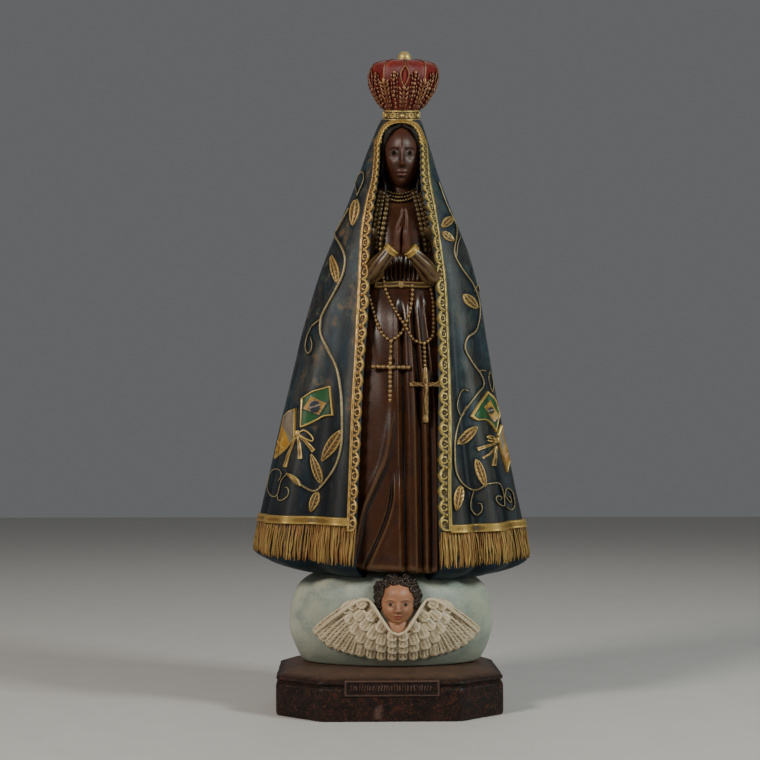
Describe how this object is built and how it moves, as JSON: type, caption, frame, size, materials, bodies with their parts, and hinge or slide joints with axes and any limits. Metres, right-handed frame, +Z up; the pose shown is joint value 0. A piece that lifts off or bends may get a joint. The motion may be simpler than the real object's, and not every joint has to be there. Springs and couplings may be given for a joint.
{
  "type": "virgin mary statue",
  "caption": "Painted cast statue of a robed, crowned lady with folded hands in a wide embroidered cloak, on a globe with a winged cherub and an octagonal base.",
  "frame": {"origin": "on the underside of the base, below the middle of the whole statue", "axes": "+Z up, the figure faces -Y, +X is to the right as seen from the front"},
  "size_m": [0.252, 0.17, 0.6],
  "materials": {
    "base_brown": "semi-gloss mottled brown paint",
    "mantle_blue": "satin blue paint with dry-brushed bronze",
    "gilt": "antiqued gold paint",
    "robe_brown": "glossy dark brown paint",
    "skin_brown": "glossy dark brown paint",
    "hair_black": "satin dark paint",
    "globe_grey": "satin grey-green paint, airbrushed darker",
    "wing_cream": "cream paint with a brown wash in the hollows",
    "cherub_skin": "satin flesh paint",
    "flag_green": "painted relief",
    "flag_yellow": "painted relief",
    "crown_red": "satin red paint with gold relief"
  },
  "bodies": {
    "root": {"base": "base_brown", "figure": "mantle_blue", "crown": "crown_red"}
  },
  "joints": []
}
